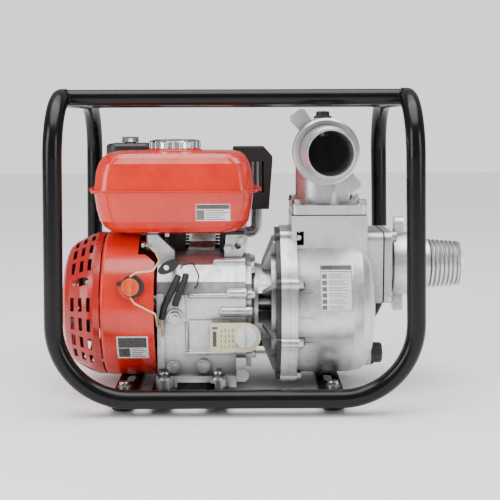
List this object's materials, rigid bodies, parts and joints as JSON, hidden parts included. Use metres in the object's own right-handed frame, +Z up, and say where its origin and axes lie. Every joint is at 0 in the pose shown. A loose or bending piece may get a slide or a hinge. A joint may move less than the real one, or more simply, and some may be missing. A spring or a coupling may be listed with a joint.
{
  "type": "gas engine trash pump",
  "caption": "Petrol-engine trash pump in a bent-tube carry frame: recoil start engine, fuel tank, volute casing, elbow outlet and side inlet with hose tails.",
  "frame": {"origin": "on the floor, under the middle of the whole pump", "axes": "+X along the crankshaft towards the suction inlet, -Y towards the discharge outlet and the engine switch, +Z up"},
  "size_m": [0.5842, 0.4004, 0.4374],
  "materials": {
    "frame_black": "gloss black powder coat",
    "cast_aluminium": "satin sand-cast",
    "tank_red": "gloss paint",
    "shroud_red": "gloss paint",
    "starter_red": "gloss paint",
    "black_plastic": "moulded",
    "rubber_black": "moulded",
    "zinc": "zinc plated",
    "chrome": "polished",
    "steel": "machined",
    "cast_iron": "as cast",
    "heat_black": "matt heat-proof paint",
    "label_white": "printed film",
    "tag_cream": "printed card",
    "wire_cream": "sleeve",
    "switch_orange": "moulded",
    "cap_pale": "moulded",
    "adapter_black": "satin paint"
  },
  "bodies": {
    "unit": {"frame_front_hoop": "frame_black", "frame_rear_hoop": "frame_black", "frame_arches": "frame_black", "frame_rails": "frame_black", "crossbars": "frame_black", "rubber_feet": "rubber_black", "frame_bolts": "zinc", "crankcase": "cast_aluminium", "side_cover": "cast_aluminium", "engine_bolts": "zinc", "cylinder_barrel": "cast_aluminium", "cylinder_head": "cast_aluminium", "rocker_cover": "cast_aluminium", "fan_shroud": "shroud_red", "labels": "label_white", "switch_housing": "black_plastic", "starter_cover": "starter_red", "tank_upper_shell": "tank_red", "tank_lower_shell": "tank_red", "tank_posts": "cast_aluminium", "tank_pads": "rubber_black", "air_cleaner_base": "black_plastic", "air_cleaner_cover": "black_plastic", "carburettor": "cast_aluminium", "control_plate": "zinc", "muffler": "steel", "muffler_shield": "heat_black", "spark_plug": "steel", "ignition_lead": "rubber_black", "switch_wires": "wire_cream", "harness_sleeves": "rubber_black", "caution_tag": "tag_cream", "pump_adapter": "cast_aluminium", "backing_ring": "adapter_black", "pump_rear_cover": "cast_aluminium", "pump_casing": "cast_aluminium", "discharge_elbow": "cast_aluminium", "pump_bolts": "zinc", "seals_and_gaskets": "rubber_black", "discharge_barb": "cast_aluminium", "suction_flange": "cast_aluminium", "suction_barb": "cast_aluminium"},
    "rotor": {"crankshaft": "steel", "flywheel": "cast_iron", "impeller": "cast_iron"},
    "starter_pull": {"starter_rope": "rubber_black", "starter_grip": "black_plastic"},
    "pulley": {"rope_pulley": "black_plastic"},
    "tank_cap": {"fuel_cap": "chrome"},
    "oil_cap": {"oil_filler_cap": "cap_pale"},
    "air_knob": {"air_cleaner_knob": "steel"},
    "choke": {"choke_lever": "zinc"},
    "fuel_valve": {"fuel_valve_lever": "zinc"},
    "throttle": {"throttle_lever": "zinc"},
    "engine_switch": {"switch_knob": "switch_orange"},
    "outlet_nut": {"discharge_nut": "cast_aluminium"},
    "inlet_nut": {"suction_nut": "cast_aluminium"},
    "drain": {"drain_plug": "black_plastic"},
    "priming": {"priming_plug": "black_plastic"},
    "flap": {"check_flap": "rubber_black"}
  },
  "joints": [
    {"name": "engine_spin", "type": "hinge", "parent": "unit", "child": "rotor", "pos_m": [-0.0382, -0.02, 0.1253], "axis": [1, 0, 0], "continuous": true},
    {"name": "starter_pull", "type": "slide", "parent": "unit", "child": "starter_pull", "axis": [0, 1, 0], "range_m": [0, 0.13], "stiffness_N_per_m": 20, "springref_m": -0.02},
    {"name": "pulley_turn", "type": "hinge", "parent": "unit", "child": "pulley", "pos_m": [-0.2532, -0.02, 0.1253], "axis": [-1, 0, 0], "range_deg": [0, 150]},
    {"name": "fuel_cap_turn", "type": "hinge", "parent": "unit", "child": "tank_cap", "pos_m": [-0.1262, -0.022, 0.36], "axis": [0, 0, 1], "range_deg": [0, 90]},
    {"name": "oil_cap_turn", "type": "hinge", "parent": "unit", "child": "oil_cap", "pos_m": [-0.0242, -0.118, 0.092], "axis": [0, -1, 0], "range_deg": [0, 360]},
    {"name": "air_knob_turn", "type": "hinge", "parent": "unit", "child": "air_knob", "pos_m": [-0.2062, 0.108, 0.362], "axis": [0, 0, 1], "continuous": true},
    {"name": "choke_turn", "type": "hinge", "parent": "unit", "child": "choke", "pos_m": [-0.1942, 0.106, 0.19], "axis": [0, 1, 0], "range_deg": [0, 60]},
    {"name": "fuel_valve_turn", "type": "hinge", "parent": "unit", "child": "fuel_valve", "pos_m": [-0.1742, 0.106, 0.184], "axis": [0, -1, 0], "range_deg": [0, 45]},
    {"name": "throttle_turn", "type": "hinge", "parent": "unit", "child": "throttle", "pos_m": [-0.0902, 0.062, 0.244], "axis": [0, 1, 0], "range_deg": [-20, 20]},
    {"name": "switch_turn", "type": "hinge", "parent": "unit", "child": "engine_switch", "pos_m": [-0.1837, -0.125, 0.166], "axis": [0, -1, 0], "range_deg": [0, 60]},
    {"name": "outlet_nut_turn", "type": "hinge", "parent": "unit", "child": "outlet_nut", "pos_m": [0.0888, -0.09, 0.35], "axis": [0, -1, 0], "continuous": true},
    {"name": "inlet_nut_turn", "type": "hinge", "parent": "unit", "child": "inlet_nut", "pos_m": [0.2018, -0.02, 0.182], "axis": [1, 0, 0], "continuous": true},
    {"name": "drain_plug_turn", "type": "hinge", "parent": "unit", "child": "drain", "pos_m": [0.1718, -0.02, 0.047], "axis": [1, 0, 0], "range_deg": [0, 360]},
    {"name": "priming_plug_turn", "type": "hinge", "parent": "unit", "child": "priming", "pos_m": [0.0888, -0.028, 0.4], "axis": [0, 0, 1], "range_deg": [0, 360]},
    {"name": "flap_swing", "type": "hinge", "parent": "unit", "child": "flap", "pos_m": [0.1392, -0.02, 0.222], "axis": [0, 1, 0], "range_deg": [0, 35]}
  ],
  "couplings": [
    {"joint": "pulley_turn", "follows": "starter_pull", "rad_per_m": 20}
  ]
}
